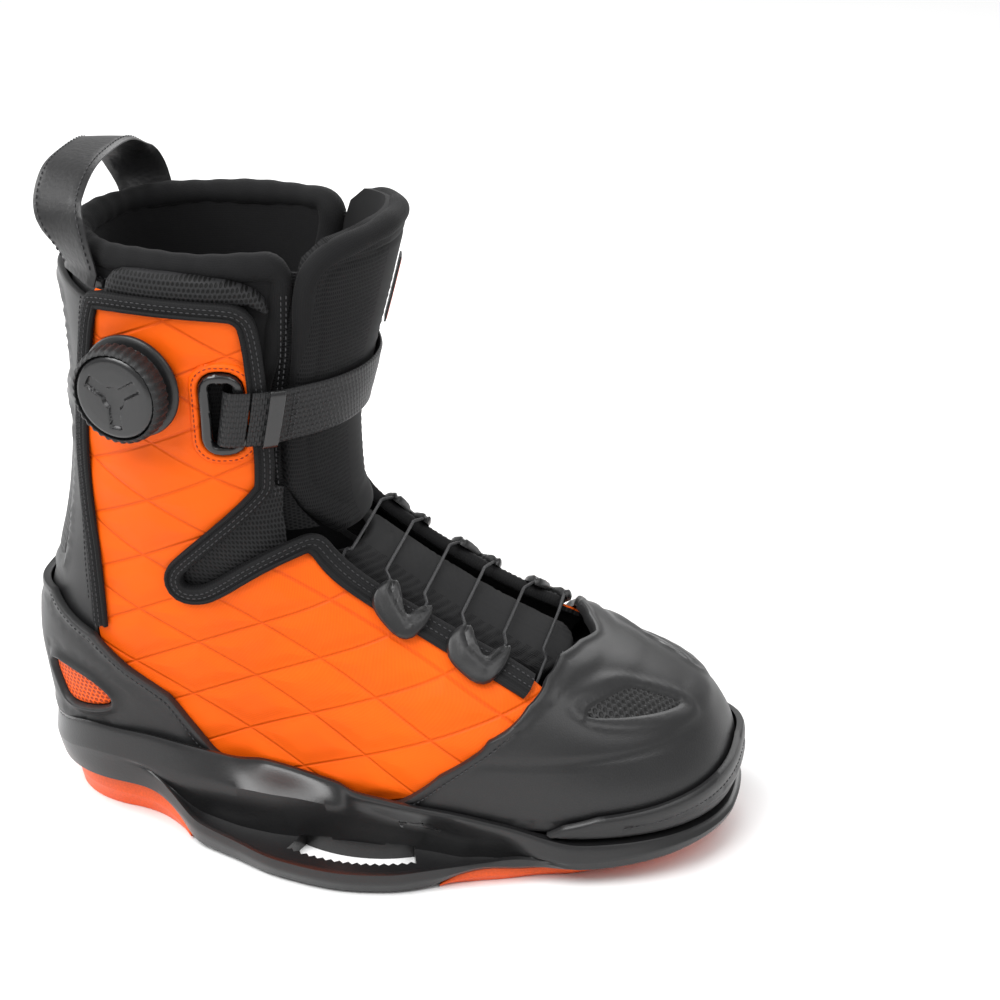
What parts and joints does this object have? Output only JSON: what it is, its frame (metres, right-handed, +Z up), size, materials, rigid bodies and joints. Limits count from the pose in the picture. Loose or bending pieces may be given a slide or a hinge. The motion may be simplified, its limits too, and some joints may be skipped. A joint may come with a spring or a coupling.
{
  "type": "wakeboard boot",
  "caption": "Right wakeboard boot with orange quilted upper, black moulded chassis, dial lacing, padded tongue and a webbing ankle strap on a ladder.",
  "frame": {"origin": "on the board plane, midway between the two arc slots, at the middle of the chassis's central rib", "axes": "+X towards the toe, +Y towards the inner side of the foot, +Z up out of the board"},
  "size_m": [0.3252, 0.1758, 0.3061],
  "materials": {
    "black_mesh": "open mesh",
    "black_plastic": "satin moulded",
    "black_rubber": "satin moulded",
    "black_trim": "woven tape",
    "fibre_board": "pressed fibre board",
    "footbed_foam": "matte foam with cloth top",
    "liner_fabric": "matte neoprene",
    "orange_foam": "satin moulded foam",
    "orange_shell": "matte coated textile, embossed",
    "steel": "zinc plated",
    "webbing": "woven, slight sheen"
  },
  "bodies": {
    "boot": {"chassis": "black_plastic", "heel_pad": "orange_foam", "toe_pad": "orange_foam", "lasting_board": "fibre_board", "chassis_screw_1": "steel", "chassis_screw_2": "steel", "chassis_screw_3": "steel", "chassis_screw_4": "steel", "quarter_lateral": "orange_shell", "binding_lateral": "black_trim", "quarter_medial": "orange_shell", "binding_medial": "black_trim", "ankle_gusset_lateral": "black_mesh", "ankle_gusset_medial": "black_mesh", "toe_cap": "black_rubber", "toe_bumper": "black_rubber", "heel_cup": "black_rubber", "heel_window_lateral": "orange_foam", "heel_window_medial": "orange_foam", "spine_shell": "black_rubber", "liner": "liner_fabric", "footbed": "footbed_foam", "tongue_instep": "black_mesh", "collar_lateral": "black_mesh", "collar_medial": "black_mesh", "webbing_anchor": "webbing", "peg_plate": "black_plastic", "strap_ring": "black_plastic", "dial_base": "black_plastic", "lace": "webbing", "lace_guide_1": "black_plastic", "lace_guide_2": "black_plastic", "lace_guide_3": "black_plastic", "lace_guide_4": "black_plastic", "lace_guide_5": "black_plastic", "loop_anchor_lateral": "black_rubber", "loop_anchor_medial": "black_rubber", "side_tab": "black_rubber"},
    "reel": {"dial_spool": "black_plastic"},
    "dial_cap": {"dial_knob": "black_plastic", "dial_grip": "black_rubber"},
    "webbing": {"webbing_strap": "webbing", "strap_keeper": "black_plastic"},
    "ladder": {"ladder_strap": "black_plastic"},
    "tongue": {"tongue_shin": "black_mesh", "tongue_label": "black_rubber"},
    "loop": {"pull_loop": "black_rubber"}
  },
  "joints": [
    {"name": "dial_spin", "type": "hinge", "parent": "boot", "child": "reel", "pos_m": [-0.09034, -0.05645, 0.221], "axis": [-0.2099, -0.9769, -0.0405], "continuous": true},
    {"name": "dial_pull", "type": "slide", "parent": "reel", "child": "dial_cap", "axis": [-0.2099, -0.9769, -0.0405], "range_m": [0, 0.0035]},
    {"name": "ladder_lift", "type": "hinge", "parent": "webbing", "child": "ladder", "pos_m": [-0.01598, 0.03639, 0.209], "axis": [0, 0, -1], "range_deg": [0, 100]},
    {"name": "strap_swing", "type": "hinge", "parent": "boot", "child": "webbing", "pos_m": [-0.04107, -0.05616, 0.209], "axis": [0, 0, -1], "range_deg": [0, 25]},
    {"name": "tongue_tilt", "type": "hinge", "parent": "boot", "child": "tongue", "pos_m": [-0.003, 0, 0.14], "axis": [0, 1, 0], "range_deg": [0, 10]},
    {"name": "loop_lean", "type": "hinge", "parent": "boot", "child": "loop", "pos_m": [-0.117, 0, 0.265], "axis": [0, -1, 0], "range_deg": [0, 35], "stiffness_Nm_per_rad": 0.03, "springref_deg": -5.73}
  ],
  "couplings": [
    {"joint": "strap_swing", "follows": "ladder_lift", "ratio": 0.25},
    {"joint": "tongue_tilt", "follows": "ladder_lift", "ratio": 0.1}
  ]
}
